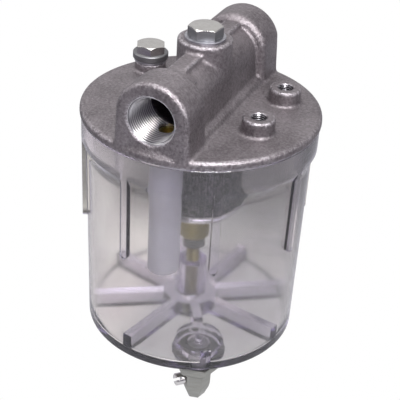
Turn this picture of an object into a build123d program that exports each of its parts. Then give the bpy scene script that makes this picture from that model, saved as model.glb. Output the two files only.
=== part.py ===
from build123d import *
import math
import os

# Fuel water separator: a cast head with two threaded pipe ports, a clear ribbed bowl hung from it
# on a central tie rod, a mesh strainer on the rod, an inlet dip tube and a drain valve in the floor.
# Millimetres, +Z up. The origin is midway between the two mounting bosses, on their top faces.
# The pipe axis runs along Y, with the inlet port towards -Y and the outlet port towards +Y.
# Heights below are measured from the head flange's top face, on the bowl's axis.

# Mounting bosses on the head
boss_spacing = 42.0
boss_height = 9.0
boss_radius = 9.1
boss_foot_flare = 0.9
boss_offset = 40.2
boss_shift = 4.3
mount_thread_radius = 4.05
mount_thread_depth = 12.5
mount_hole_chamfer = 0.4

# Head flange and what hangs under it
flange_radius = 68.0
flange_thickness = 5.2
flange_edge_round = 2.4
spigot_wall = 3.2
spigot_height = 3.8
spigot_clearance = 0.4
gasket_thickness = 1.8
gasket_inset = 0.6
gasket_width = 4.4
gasket_side_gap = 0.2
strainer_hub_radius = 17.0
strainer_hub_height = 8.8
drop_boss_radius = 10.5
drop_boss_height = 7.0

# Cross tube and port blocks
pipe_height = 17.5
pipe_radius = 15.0
pipe_foot = 16.6
pipe_fillet = 4.0
port_face_inset = 2.5
port_foot_height = 4.0
port_foot_angle = 17.5
port_foot_inset = 0.5
port_foot_cover = 0.1
block_length = 24.5
block_crease = 20.2
block_crease_height = 5.5
block_crown = 20.7
block_foot = 21.8
block_face_round = 3.0
block_shoulder_round = 4.2
slope_start = 5.0
slope_length = 15.0
slope_angle = 42.0
slope_cover = 0.25
crest_width = 10.0
crest_height = 17.4
port_thread_radius = 13.25
port_thread_depth = 26.0
port_chamber_radius = 11.6
port_chamfer = 0.4
port_chamber_length = 11.5
outlet_passage_radius = 9.5

# Neck that the tie rod comes through
neck_radius = 15.2
neck_height = 39.5
neck_edge_round = 1.2
seat_radius = 12.4
seat_depth = 0.6
centre_chamber_radius = 10.0
centre_chamber_top = 27.0

# Bleed plug and its boss
bleed_rim_distance = 15.1
bleed_turn = 149.3
bleed_boss_radius = 9.2
bleed_boss_height = 6.1
bleed_thread_radius = 6.5
bleed_thread_length = 10.6
bleed_collar_radius = 10.5
bleed_collar_bevel = 0.5
bleed_collar_height = 3.9
bleed_hex_flats = 16.0
bleed_hex_height = 4.8
bleed_seal_thickness = 1.5
bleed_seal_radius = 9.7
bleed_seal_gap = 0.3
bleed_hex_turn = 56.0
hex_bevel = 0.577

# Bowl
bowl_height = 136.4
collar_inset = 0.8
collar_height = 14.3
collar_taper = 5.5
collar_step = 2.8
wall_draft = 0.8
wall_thickness = 3.2
floor_thickness = 3.6
base_chamfer = 0.8
rib_count = 8
rib_turn = -57.6
rib_width = 4.7
rib_length = 51.4
rib_projection = 2.7
rib_root = 1.6
web_width = 6.0
web_height = 10.0
floor_round = 2.0
hub_radius = 17.0
column_radius = 9.0
column_nut_gap = 10.7
column_bore_gap = 0.6

# Tie rod and what clamps the strainer on it
rod_radius = 4.0
rod_end_gap = 0.8
rod_end_chamfer = 0.7
cap_nut_flats = 17.0
cap_nut_turn = 24.0
cap_nut_height = 5.8
cap_nut_roof = 1.4
cap_seal_thickness = 1.6
cap_seal_radius = 11.4
insert_radius = 5.5
insert_length = 12.2
insert_cover = 1.2
insert_floor = 2.0
bush_radius = 9.3
bush_length = 23.8
bush_chamfer = 0.6
lock_nut_flats = 13.0
lock_nut_height = 8.0
lock_nut_turn = 0.0
rod_sliding_gap = 0.2

# Strainer
strainer_radius = 27.2
strainer_height = 47.0
mesh_thickness = 0.8
core_gap = 1.0
core_thickness = 0.8
core_hole_radius = 2.6
core_hole_columns = 16
core_hole_rows = 5
core_hole_pitch = 8.2
cap_sheet = 0.8
cap_rim = 4.0
cap_bore_radius = 11.0
strainer_gasket_thickness = 1.5
strainer_gasket_width = 5.0

# Inlet nipple and dip tube
drop_x = 1.5
drop_rim_distance = 22.0
nipple_radius = 5.5
nipple_bore = 3.9
nipple_sunk = 0.3
nipple_reach = 9.0
dip_tube_radius = 8.75
dip_tube_wall = 1.6
dip_tube_length = 69.8

# Drain valve: a tapered hex body screwed up into a boss in the bowl's floor
drain_rim_distance = 18.6
drain_turn = -59.5
drain_boss_radius = 14.4
drain_boss_height = 7.6
drain_boss_drop = 4.3
drain_thread_radius = 6.5
drain_hole_depth = 8.2
drain_stem_gap = 0.6
drain_seal_thickness = 2.0
drain_seal_radius = 12.0
drain_wide_flats = 24.0
drain_wide_height = 4.6
drain_taper_height = 5.2
drain_flats = 15.3
drain_nose_heights = (8.3, 3.0, 2.9, 3.1, 1.2)
drain_nose_flats = (15.0, 14.1, 12.1, 10.0, 8.4)
drain_inlet_radius = 2.5
drain_inlet_depth = 14.5
drain_cross_offset = 3.2
drain_cross_radius = 1.2
drain_outlet_radius = 1.8
drain_seat_radius = 1.1

# Drain screw, its cone point on the seat and its head clear of the hex
screw_turn = -136.6
screw_drop = 20.5
screw_radius = 3.0
screw_head_radius = 3.7
screw_head_length = 5.8
screw_head_gap = 0.3
screw_head_bevel = 0.5
screw_spot_gap = 0.6
screw_inner_end = 1.0
screw_cone_length = 2.3
screw_point_reach = 0.35
screw_point_radius = 0.7
screw_slot_width = 1.6
screw_slot_depth = 4.3
screw_slot_tilt = 45.0
oring_wire = 1.2
oring_position = 5.0
oring_groove_width = 1.5
oring_squeeze = 0.02

# Fits: threads and pressed pieces are plain cylinders with these radial gaps
thread_gap = 0.05
press_gap = 0.02

# Where the bowl's axis and the levels lie in the part's frame
axis_x = -boss_offset
axis_y = -boss_shift
flange_top = -boss_height
port_face = flange_radius - port_face_inset
collar_radius = flange_radius - collar_inset
wall_radius = collar_radius - collar_step
base_radius = wall_radius - wall_draft
bowl_base = -flange_thickness - bowl_height
floor_top = bowl_base + floor_thickness
bowl_bore = wall_radius - wall_thickness
base_bore = base_radius - wall_thickness
hub_bottom = -flange_thickness - strainer_hub_height
drop_bottom = -flange_thickness - drop_boss_height
seat_level = neck_height - seat_depth
nut_base = seat_level + cap_seal_thickness
rod_top = nut_base + cap_nut_height - cap_nut_roof - rod_end_gap
insert_bottom = bowl_base + insert_cover
rod_bottom = insert_bottom + insert_floor + rod_end_gap
strainer_top = hub_bottom - strainer_gasket_thickness
strainer_bottom = strainer_top - strainer_height
bush_bottom = strainer_bottom - bush_length
column_height = bush_bottom - lock_nut_height - column_nut_gap - floor_top
drop_y = drop_rim_distance - flange_radius
bleed_distance = flange_radius - bleed_rim_distance
bleed_x = bleed_distance * math.cos(math.radians(bleed_turn))
bleed_y = bleed_distance * math.sin(math.radians(bleed_turn))
bleed_seat = bleed_boss_height + bleed_seal_thickness
bowl_axis = Axis((axis_x, axis_y, 0), (0, 0, 1))
pipe_axis = Axis((axis_x, axis_y, flange_top + pipe_height), (0, 1, 0))
drain_distance = base_radius - drain_rim_distance
drain_x = drain_distance * math.cos(math.radians(drain_turn))
drain_y = drain_distance * math.sin(math.radians(drain_turn))
drain_top = bowl_base - drain_boss_drop - drain_seal_thickness
screw_level = bowl_base - screw_drop


def level(height, x=0.0, y=0.0):
    """Horizontal plane at a height above the flange's top face, centred x, y from the bowl's axis."""
    return Plane((axis_x + x, axis_y + y, flange_top + height))


def across(y):
    """Upright plane square to the pipe axis, y from the bowl's axis, facing the inlet side."""
    return Plane((axis_x, axis_y + y, flange_top), x_dir=(1, 0, 0), z_dir=(0, -1, 0))


def section(x=0.0, y=0.0, turn=0.0):
    """Upright plane through a vertical axis: local x points outwards at the turn, local y is height."""
    out = (math.cos(math.radians(turn)), math.sin(math.radians(turn)), 0)
    side = (math.sin(math.radians(turn)), -math.cos(math.radians(turn)), 0)
    return Plane((axis_x + x, axis_y + y, flange_top), x_dir=out, z_dir=side)


def upright_axis(x=0.0, y=0.0):
    """Vertical axis x, y from the bowl's axis."""
    return Axis((axis_x + x, axis_y + y, 0), (0, 0, 1))


def screw_plane(distance):
    """Plane square to the drain screw, at a distance from the drain's axis, facing outwards."""
    out = (math.cos(math.radians(screw_turn)), math.sin(math.radians(screw_turn)), 0)
    centre = (axis_x + drain_x + distance * out[0], axis_y + drain_y + distance * out[1],
              flange_top + screw_level)
    return Plane(centre, x_dir=(-out[1], out[0], 0), z_dir=out)


screw_face = screw_plane(0)
screw_section = Plane(screw_face.origin, x_dir=screw_face.z_dir, z_dir=-screw_face.x_dir)
screw_axis = Axis(screw_face.origin, screw_face.z_dir)


# Port block: flat drafted sides under an arched crown, with soft edges as cast
def block_outline(foot_level):
    with BuildLine() as line:
        foot_left = (-block_foot, foot_level)
        foot_right = (block_foot, foot_level)
        crease = (block_crease, pipe_height + block_crease_height)
        Polyline((-crease[0], crease[1]), foot_left, foot_right, crease)
        ThreePointArc(crease, (0, pipe_height + block_crown), (-crease[0], crease[1]))
    return line.line


with BuildPart() as port_block:
    with BuildSketch(across(-(port_face - block_length))):
        with BuildLine():
            add(block_outline(-flange_thickness))
        make_face()
    extrude(amount=block_length)
    face_edges = port_block.faces().sort_by(Axis.Y)[0].edges().sort_by(Axis.Z)[1:]
    shoulder_edges = port_block.faces().sort_by(Axis.Y)[-1].edges().sort_by(Axis.Z)[1:]
    fillet(face_edges, radius=block_face_round)
    fillet(shoulder_edges, radius=block_shoulder_round)

# Slope behind the inlet block's crown, a sector of a cone that runs it down onto the cross tube
with BuildPart() as block_slope:
    slope_out = (-math.sin(math.radians(slope_angle)), 0, math.cos(math.radians(slope_angle)))
    with BuildSketch(Plane(pipe_axis.position, x_dir=slope_out, z_dir=(-slope_out[2], 0, slope_out[0]))):
        with BuildLine():
            slope_front = block_length - port_face - slope_start
            slope_back = slope_front + slope_length
            Polyline((pipe_radius / 2 + port_thread_radius / 2, slope_front), (block_crown - slope_cover, slope_front),
                     (pipe_radius - slope_cover, slope_back), (pipe_radius / 2 + port_thread_radius / 2, slope_back),
                     close=True)
        make_face()
    revolve(axis=pipe_axis, revolution_arc=2 * slope_angle)

# Foot under the port's face, a cone that carries the face out to the flange's rim
with BuildPart() as port_foot:
    with BuildSketch(section(turn=-90 - port_foot_angle)):
        with BuildLine():
            foot_edge = flange_radius - port_foot_cover
            Polyline((port_face - block_length / 2, port_foot_height),
                     (port_face - port_foot_inset, port_foot_height), (foot_edge, -flange_edge_round),
                     (foot_edge, -flange_thickness / 2), (port_face - block_length / 2, -flange_thickness / 2),
                     close=True)
        make_face()
    revolve(axis=bowl_axis, revolution_arc=2 * port_foot_angle)

# Cross tube with the same kind of section, its foot flared into the flange
with BuildPart() as cross_tube:
    with BuildSketch(across(port_face - block_length / 2)):
        with BuildLine():
            Line((pipe_radius, pipe_height), (pipe_foot, pipe_fillet))
            RadiusArc((pipe_foot, pipe_fillet), (pipe_foot + pipe_fillet, 0), pipe_fillet)
            Polyline((pipe_foot + pipe_fillet, 0), (pipe_foot + pipe_fillet, -flange_thickness / 2),
                     (-pipe_foot - pipe_fillet, -flange_thickness / 2), (-pipe_foot - pipe_fillet, 0))
            RadiusArc((-pipe_foot - pipe_fillet, 0), (-pipe_foot, pipe_fillet), pipe_fillet)
            Line((-pipe_foot, pipe_fillet), (-pipe_radius, pipe_height))
            ThreePointArc((-pipe_radius, pipe_height), (0, pipe_height + pipe_radius),
                          (pipe_radius, pipe_height))
        make_face()
    extrude(amount=2 * port_face - block_length)
    with BuildSketch(across(port_face - block_length / 2)):
        with Locations((0, pipe_height + crest_height / 2)):
            Rectangle(crest_width, crest_height)
    extrude(amount=2 * port_face - block_length)

# Mounting boss, bleed boss and neck, each with a small flare at its foot
with BuildPart() as mounting_boss:
    with BuildSketch(Plane.XZ):
        with BuildLine():
            Polyline((0, 0), (0, -boss_height - flange_thickness / 2),
                     (boss_radius + boss_foot_flare, -boss_height - flange_thickness / 2),
                     (boss_radius + boss_foot_flare, -boss_height))
            Line((boss_radius + boss_foot_flare, -boss_height), (boss_radius, -boss_height + boss_foot_flare))
            Polyline((boss_radius, -boss_height + boss_foot_flare), (boss_radius, -boss_foot_flare / 2),
                     (boss_radius - boss_foot_flare / 2, 0), (0, 0))
        make_face()
    revolve(axis=Axis.Z)

with BuildPart() as head:
    with BuildSketch(section()):
        with BuildLine():
            rim_top = flange_radius - flange_edge_round
            Polyline((0, 0), (0, -flange_thickness), (flange_radius, -flange_thickness),
                     (flange_radius, -flange_edge_round))
            RadiusArc((flange_radius, -flange_edge_round), (rim_top, 0), -flange_edge_round)
            Line((rim_top, 0), (0, 0))
        make_face()
    revolve(axis=bowl_axis)
    add(port_block.part)
    add(port_block.part.mirror(across(0)))
    add(port_foot.part)
    add(port_foot.part.mirror(across(0)))
    add(cross_tube.part)
    add(block_slope.part)
    with BuildSketch(level(pipe_height)):
        Circle(neck_radius)
    extrude(amount=neck_height - pipe_height)
    neck_rim = head.faces().filter_by(Plane.XY).sort_by(Axis.Z)[-1].edges()
    fillet(neck_rim, radius=neck_edge_round)
    with Locations((0, -boss_spacing / 2, 0), (0, boss_spacing / 2, 0)):
        add(mounting_boss.part)
    with BuildSketch(level(-flange_thickness / 2, bleed_x, bleed_y)):
        Circle(bleed_boss_radius)
    extrude(amount=bleed_boss_height + flange_thickness / 2)
    # Underside: locating spigot, strainer hub and drop pipe boss
    with BuildSketch(level(-flange_thickness)):
        Circle(bowl_bore - spigot_clearance)
        Circle(bowl_bore - spigot_clearance - spigot_wall, mode=Mode.SUBTRACT)
    extrude(amount=-spigot_height)
    with BuildSketch(level(-flange_thickness)):
        Circle(strainer_hub_radius)
    extrude(amount=-strainer_hub_height)
    with BuildSketch(level(-flange_thickness, drop_x, drop_y)):
        Circle(drop_boss_radius)
    extrude(amount=-drop_boss_height)
    # Gasket groove in the flange's underside
    with BuildSketch(level(-flange_thickness)):
        Circle(bowl_bore + gasket_inset + gasket_width)
        Circle(bowl_bore + gasket_inset, mode=Mode.SUBTRACT)
    extrude(amount=gasket_thickness, mode=Mode.SUBTRACT)
    # Threaded ports with their chambers, and the outlet passage to the centre
    for port_turn in (-90, 90):
        with BuildSketch(section(turn=port_turn)):
            with BuildLine():
                thread_end = port_face - port_thread_depth
                thread_top = pipe_height + port_thread_radius
                beyond = port_face + flange_edge_round
                Polyline((thread_end - port_chamber_length, pipe_height),
                         (thread_end - port_chamber_length, pipe_height + port_chamber_radius),
                         (thread_end, pipe_height + port_chamber_radius), (thread_end, thread_top),
                         (port_face - port_chamfer, thread_top),
                         (beyond, thread_top + port_chamfer + flange_edge_round), (beyond, pipe_height),
                         close=True)
            make_face()
        revolve(axis=pipe_axis, mode=Mode.SUBTRACT)
    with BuildSketch(across(port_face - port_thread_depth)):
        with Locations((0, pipe_height)):
            Circle(outlet_passage_radius)
    extrude(amount=port_face - port_thread_depth, mode=Mode.SUBTRACT)
    with BuildSketch(level(hub_bottom)):
        Circle(centre_chamber_radius)
    extrude(amount=centre_chamber_top - hub_bottom, mode=Mode.SUBTRACT)
    # Rod hole and machined seat in the neck
    with BuildSketch(level(centre_chamber_top)):
        Circle(rod_radius + rod_sliding_gap)
    extrude(amount=neck_height - centre_chamber_top, mode=Mode.SUBTRACT)
    with BuildSketch(level(seat_level)):
        Circle(seat_radius)
    extrude(amount=seat_depth, mode=Mode.SUBTRACT)
    # Drop hole from the inlet chamber, bleed hole and the two blind mounting holes
    with BuildSketch(level(pipe_height, drop_x, drop_y)):
        Circle(nipple_radius + press_gap)
    extrude(amount=-(pipe_height + flange_thickness + drop_boss_height), mode=Mode.SUBTRACT)
    with BuildSketch(level(bleed_boss_height, bleed_x, bleed_y)):
        Circle(bleed_thread_radius + thread_gap)
    extrude(amount=-(bleed_boss_height + flange_thickness + spigot_height), mode=Mode.SUBTRACT)
    with Locations((0, -boss_spacing / 2, 0), (0, boss_spacing / 2, 0)):
        Hole(mount_thread_radius, depth=mount_thread_depth)
    mount_mouths = head.edges().filter_by(GeomType.CIRCLE).filter_by_position(
        Axis.Z, -0.01, 0.01).filter_by(lambda edge: edge.radius < mount_thread_radius + 0.01)
    chamfer(mount_mouths, length=mount_hole_chamfer)


# Closed nut on the neck with its sealing washer, both on the tie rod
with BuildPart() as cap_nut:
    with BuildSketch(level(nut_base)):
        RegularPolygon(cap_nut_flats / 2, 6, major_radius=False, rotation=cap_nut_turn)
    extrude(amount=cap_nut_height)
    with BuildSketch(section()):
        with BuildLine():
            nut_corner = cap_nut_flats / 2 / math.cos(math.pi / 6)
            nut_top = nut_base + cap_nut_height
            Polyline((cap_nut_flats / 2, nut_top + 1), (cap_nut_flats / 2, nut_top),
                     (nut_corner + 1, nut_top - (nut_corner + 1 - cap_nut_flats / 2) * hex_bevel),
                     (nut_corner + 1, nut_top + 1), close=True)
        make_face()
    revolve(axis=bowl_axis, mode=Mode.SUBTRACT)
    with BuildSketch(level(nut_base)):
        Circle(rod_radius + thread_gap)
    extrude(amount=cap_nut_height - cap_nut_roof, mode=Mode.SUBTRACT)

with BuildPart() as cap_nut_seal:
    with BuildSketch(level(seat_level)):
        Circle(cap_seal_radius)
        Circle(rod_radius + rod_sliding_gap, mode=Mode.SUBTRACT)
    extrude(amount=cap_seal_thickness)

with BuildPart() as tie_rod:
    with BuildSketch(level(rod_bottom)):
        Circle(rod_radius)
    extrude(amount=rod_top - rod_bottom)
    chamfer(tie_rod.edges().filter_by(GeomType.CIRCLE), length=rod_end_chamfer)

# Bleed plug: hex over a round collar, on a sealing washer
with BuildPart() as bleed_plug:
    with BuildSketch(level(bleed_seat + bleed_collar_height, bleed_x, bleed_y)):
        RegularPolygon(bleed_hex_flats / 2, 6, major_radius=False, rotation=bleed_hex_turn)
    extrude(amount=bleed_hex_height)
    with BuildSketch(section(bleed_x, bleed_y)):
        with BuildLine():
            plug_corner = bleed_hex_flats / 2 / math.cos(math.pi / 6)
            plug_top = bleed_seat + bleed_collar_height + bleed_hex_height
            Polyline((bleed_hex_flats / 2, plug_top + 1), (bleed_hex_flats / 2, plug_top),
                     (plug_corner + 1, plug_top - (plug_corner + 1 - bleed_hex_flats / 2) * hex_bevel),
                     (plug_corner + 1, plug_top + 1), close=True)
        make_face()
    revolve(axis=upright_axis(bleed_x, bleed_y), mode=Mode.SUBTRACT)
    with BuildSketch(level(bleed_seat, bleed_x, bleed_y)):
        Circle(bleed_collar_radius)
    extrude(amount=bleed_collar_height)
    collar_rims = bleed_plug.edges().filter_by(GeomType.CIRCLE).filter_by(
        lambda edge: edge.radius > bleed_collar_radius - 0.01)
    chamfer(collar_rims, length=bleed_collar_bevel)
    with BuildSketch(level(bleed_seat, bleed_x, bleed_y)):
        Circle(bleed_thread_radius)
    extrude(amount=-bleed_thread_length)
    chamfer(bleed_plug.edges().sort_by(Axis.Z)[0], length=rod_end_chamfer)

with BuildPart() as bleed_plug_seal:
    with BuildSketch(level(bleed_boss_height, bleed_x, bleed_y)):
        Circle(bleed_seal_radius)
        Circle(bleed_thread_radius + bleed_seal_gap, mode=Mode.SUBTRACT)
    extrude(amount=bleed_seal_thickness)

# Bowl gasket in the flange's groove
with BuildPart() as bowl_seal:
    with BuildSketch(level(-flange_thickness)):
        Circle(bowl_bore + gasket_inset + gasket_width - gasket_side_gap)
        Circle(bowl_bore + gasket_inset + gasket_side_gap, mode=Mode.SUBTRACT)
    extrude(amount=gasket_thickness)

# Clear bowl: collar, tapered wall, floor with webs, hub and drain boss, ribs outside
with BuildPart() as bowl:
    with BuildSketch(section()):
        with BuildLine():
            collar_bottom = -flange_thickness - collar_height
            Polyline((0, floor_top), (0, bowl_base), (base_radius - base_chamfer, bowl_base),
                     (base_radius, bowl_base + base_chamfer), (wall_radius, collar_bottom - collar_taper),
                     (collar_radius, collar_bottom), (collar_radius, -flange_thickness),
                     (bowl_bore, -flange_thickness), (base_bore, floor_top + floor_round),
                     (base_bore - floor_round, floor_top), (0, floor_top))
        make_face()
    revolve(axis=bowl_axis)
    with BuildSketch(level(floor_top)):
        Circle(hub_radius)
        with PolarLocations(0, rib_count, start_angle=rib_turn):
            Rectangle(base_bore + wall_thickness / 2, web_width, align=(Align.MIN, Align.CENTER))
    extrude(amount=web_height)
    with BuildSketch(level(floor_top)):
        Circle(column_radius)
    extrude(amount=column_height)
    with BuildSketch(level(floor_top, drain_x, drain_y)):
        Circle(drain_boss_radius)
    extrude(amount=column_height, mode=Mode.SUBTRACT)
    with BuildSketch(level(bowl_base - drain_boss_drop, drain_x, drain_y)):
        Circle(drain_boss_radius)
    extrude(amount=drain_boss_drop + floor_thickness + drain_boss_height)
    for step in range(rib_count):
        rib_angle = math.radians(rib_turn + 360 / rib_count * step)
        rib_out = (math.cos(rib_angle), math.sin(rib_angle), 0)
        rib_foot = (axis_x + (wall_radius - rib_root) * rib_out[0],
                    axis_y + (wall_radius - rib_root) * rib_out[1], flange_top + collar_bottom)
        with BuildSketch(Plane(rib_foot, x_dir=(-rib_out[1], rib_out[0], 0), z_dir=rib_out)):
            Rectangle(rib_width, rib_length - rib_width / 2, align=(Align.CENTER, Align.MAX))
            with Locations((0, -rib_length + rib_width / 2)):
                Circle(rib_width / 2)
        extrude(amount=rib_root + rib_projection)
    # Bore for the insert and the rod, and the drain's threaded hole
    with BuildSketch(level(insert_bottom)):
        Circle(insert_radius + press_gap)
    extrude(amount=insert_length, mode=Mode.SUBTRACT)
    with BuildSketch(level(insert_bottom)):
        Circle(rod_radius + column_bore_gap)
    extrude(amount=column_height + floor_thickness, mode=Mode.SUBTRACT)
    with BuildSketch(level(bowl_base - drain_boss_drop, drain_x, drain_y)):
        Circle(drain_thread_radius + press_gap)
    extrude(amount=drain_hole_depth, mode=Mode.SUBTRACT)
    with BuildSketch(level(bowl_base - drain_boss_drop, drain_x, drain_y)):
        Circle(drain_inlet_radius)
    extrude(amount=drain_boss_drop + floor_thickness + drain_boss_height, mode=Mode.SUBTRACT)

with BuildPart() as bowl_insert:
    with BuildSketch(level(insert_bottom)):
        Circle(insert_radius)
    extrude(amount=insert_length)
    with BuildSketch(level(insert_bottom + insert_floor)):
        Circle(rod_radius + press_gap)
    extrude(amount=insert_length, mode=Mode.SUBTRACT)

# Inlet nipple pressed in the drop boss, and the dip tube pushed on it
with BuildPart() as inlet_nipple:
    nipple_top = pipe_height - port_thread_radius - nipple_sunk
    with BuildSketch(level(drop_bottom, drop_x, drop_y)):
        Circle(nipple_radius)
    extrude(amount=nipple_top - drop_bottom)
    with BuildSketch(level(drop_bottom, drop_x, drop_y)):
        Circle(dip_tube_radius - dip_tube_wall - press_gap)
    extrude(amount=-nipple_reach)
    with BuildSketch(level(nipple_top, drop_x, drop_y)):
        Circle(nipple_bore)
    extrude(amount=-(nipple_top - drop_bottom + nipple_reach), mode=Mode.SUBTRACT)

with BuildPart() as dip_tube:
    with BuildSketch(level(drop_bottom, drop_x, drop_y)):
        Circle(dip_tube_radius)
        Circle(dip_tube_radius - dip_tube_wall, mode=Mode.SUBTRACT)
    extrude(amount=-dip_tube_length)

# Strainer: gasket, two pressed caps, mesh sleeve and perforated core
with BuildPart() as strainer_gasket:
    with BuildSketch(level(hub_bottom)):
        Circle(strainer_hub_radius)
        Circle(strainer_hub_radius - strainer_gasket_width, mode=Mode.SUBTRACT)
    extrude(amount=-strainer_gasket_thickness)

with BuildPart() as strainer_top_cap:
    with BuildSketch(level(strainer_top)):
        Circle(strainer_radius)
        Circle(cap_bore_radius, mode=Mode.SUBTRACT)
    extrude(amount=-cap_rim)
    with BuildSketch(level(strainer_top - cap_rim)):
        Circle(strainer_radius - cap_sheet)
    extrude(amount=cap_rim - cap_sheet, mode=Mode.SUBTRACT)

with BuildPart() as strainer_bottom_cap:
    with BuildSketch(level(strainer_bottom)):
        Circle(strainer_radius)
    extrude(amount=cap_rim)
    with BuildSketch(level(strainer_bottom + cap_rim)):
        Circle(strainer_radius - cap_sheet)
    extrude(amount=-(cap_rim - cap_sheet), mode=Mode.SUBTRACT)
    with BuildSketch(level(strainer_bottom)):
        Circle(rod_radius + rod_sliding_gap)
    extrude(amount=cap_sheet, mode=Mode.SUBTRACT)

with BuildPart() as strainer_mesh:
    mesh_outer = strainer_radius - cap_sheet - press_gap
    with BuildSketch(level(strainer_bottom + cap_sheet)):
        Circle(mesh_outer)
        Circle(mesh_outer - mesh_thickness, mode=Mode.SUBTRACT)
    extrude(amount=strainer_height - 2 * cap_sheet)

with BuildPart() as strainer_core:
    core_outer = mesh_outer - mesh_thickness - core_gap
    with BuildSketch(level(strainer_bottom + cap_sheet)):
        Circle(core_outer)
        Circle(core_outer - core_thickness, mode=Mode.SUBTRACT)
    extrude(amount=strainer_height - 2 * cap_sheet)
    with Locations(level((strainer_top + strainer_bottom) / 2)):
        with PolarLocations(core_outer, core_hole_columns):
            with Locations(Rotation(0, 90, 0)):
                with GridLocations(core_hole_pitch, 1, core_hole_rows, 1):
                    Cylinder(core_hole_radius, 4 * core_thickness, mode=Mode.SUBTRACT)

# Clamp bush and lock nut that hold the strainer up on the rod
with BuildPart() as clamp_bush:
    with BuildSketch(level(strainer_bottom)):
        Circle(bush_radius)
    extrude(amount=-bush_length)
    chamfer(clamp_bush.edges().filter_by(GeomType.CIRCLE).sort_by(Axis.Z)[0], length=bush_chamfer)
    with BuildSketch(level(strainer_bottom)):
        Circle(rod_radius + rod_sliding_gap)
    extrude(amount=-bush_length, mode=Mode.SUBTRACT)

with BuildPart() as lock_nut:
    with BuildSketch(level(bush_bottom)):
        RegularPolygon(lock_nut_flats / 2, 6, major_radius=False, rotation=lock_nut_turn)
    extrude(amount=-lock_nut_height)
    with BuildSketch(section()):
        with BuildLine():
            lock_corner = lock_nut_flats / 2 / math.cos(math.pi / 6)
            lock_bottom = bush_bottom - lock_nut_height
            Polyline((lock_nut_flats / 2, lock_bottom - 1), (lock_nut_flats / 2, lock_bottom),
                     (lock_corner + 1, lock_bottom + (lock_corner + 1 - lock_nut_flats / 2) * hex_bevel),
                     (lock_corner + 1, lock_bottom - 1), close=True)
        make_face()
    revolve(axis=bowl_axis, mode=Mode.SUBTRACT)
    with BuildSketch(level(bush_bottom)):
        Circle(rod_radius + press_gap)
    extrude(amount=-lock_nut_height, mode=Mode.SUBTRACT)

# Drain valve body: stem, wide hex, tapered hex nose, and passages that the screw's cone closes
with BuildPart() as drain_body:
    stem_top = bowl_base - drain_boss_drop + drain_hole_depth - drain_stem_gap
    with BuildSketch(level(drain_top, drain_x, drain_y)):
        Circle(drain_thread_radius)
    extrude(amount=stem_top - drain_top)
    chamfer(drain_body.edges().sort_by(Axis.Z)[-1], length=rod_end_chamfer)
    with BuildSketch(level(drain_top, drain_x, drain_y)):
        RegularPolygon(drain_wide_flats / 2, 6, major_radius=False, rotation=screw_turn + 30)
    extrude(amount=-drain_wide_height)
    nose_level = drain_top - drain_wide_height
    with BuildSketch(level(nose_level, drain_x, drain_y)):
        RegularPolygon(drain_wide_flats / 2, 6, major_radius=False, rotation=screw_turn + 30)
    nose_level -= drain_taper_height
    with BuildSketch(level(nose_level, drain_x, drain_y)):
        RegularPolygon(drain_flats / 2, 6, major_radius=False, rotation=screw_turn + 30)
    loft(ruled=True)
    last_flats = drain_flats
    for step_height, step_flats in zip(drain_nose_heights, drain_nose_flats):
        with BuildSketch(level(nose_level, drain_x, drain_y)):
            RegularPolygon(last_flats / 2, 6, major_radius=False, rotation=screw_turn + 30)
        nose_level -= step_height
        with BuildSketch(level(nose_level, drain_x, drain_y)):
            RegularPolygon(step_flats / 2, 6, major_radius=False, rotation=screw_turn + 30)
        loft(ruled=True)
        last_flats = step_flats
    with BuildSketch(level(stem_top, drain_x, drain_y)):
        Circle(drain_inlet_radius)
    extrude(amount=-(stem_top - bowl_base + drain_inlet_depth), mode=Mode.SUBTRACT)
    across_x = drain_x - drain_cross_offset * math.cos(math.radians(screw_turn))
    across_y = drain_y - drain_cross_offset * math.sin(math.radians(screw_turn))
    with BuildSketch(level(bowl_base, across_x, across_y)):
        Circle(drain_cross_radius)
    extrude(amount=-(screw_drop + drain_cross_radius), mode=Mode.SUBTRACT)
    with BuildSketch(level(nose_level, drain_x, drain_y)):
        Circle(drain_outlet_radius)
    extrude(amount=screw_level - nose_level, mode=Mode.SUBTRACT)
    with BuildSketch(screw_plane(-drain_cross_offset)):
        Circle(drain_seat_radius)
    extrude(amount=drain_cross_offset, mode=Mode.SUBTRACT)
    with BuildSketch(screw_plane(-screw_inner_end)):
        Circle(screw_radius + thread_gap)
    extrude(amount=drain_flats, mode=Mode.SUBTRACT)
    with BuildSketch(screw_plane(drain_flats / 2)):
        Circle(screw_head_radius + screw_spot_gap)
    extrude(amount=drain_flats, mode=Mode.SUBTRACT)

with BuildPart() as drain_seal:
    with BuildSketch(level(drain_top, drain_x, drain_y)):
        Circle(drain_seal_radius)
        Circle(drain_thread_radius + press_gap, mode=Mode.SUBTRACT)
    extrude(amount=drain_seal_thickness)

# Drain screw with a cone point, a groove for its O-ring and a slotted head
with BuildPart() as drain_screw:
    with BuildSketch(screw_section):
        with BuildLine():
            head_base = drain_flats / 2 + screw_head_gap
            head_end = head_base + screw_head_length
            groove_depth = screw_radius + thread_gap - oring_squeeze - oring_wire
            groove_start = oring_position - oring_groove_width / 2
            groove_end = oring_position + oring_groove_width / 2
            point = -screw_inner_end - screw_point_reach
            Polyline((point, 0), (point, screw_point_radius),
                     (point + screw_cone_length, screw_radius), (groove_start, screw_radius),
                     (groove_start, groove_depth), (groove_end, groove_depth), (groove_end, screw_radius),
                     (head_base, screw_radius), (head_base, screw_head_radius),
                     (head_end - screw_head_bevel, screw_head_radius),
                     (head_end, screw_head_radius - screw_head_bevel), (head_end, 0), close=True)
        make_face()
    revolve(axis=screw_axis)
    with BuildSketch(screw_plane(head_end)):
        Rectangle(2 * screw_head_radius + 1, screw_slot_width, rotation=screw_slot_tilt)
    extrude(amount=-screw_slot_depth, mode=Mode.SUBTRACT)

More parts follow.
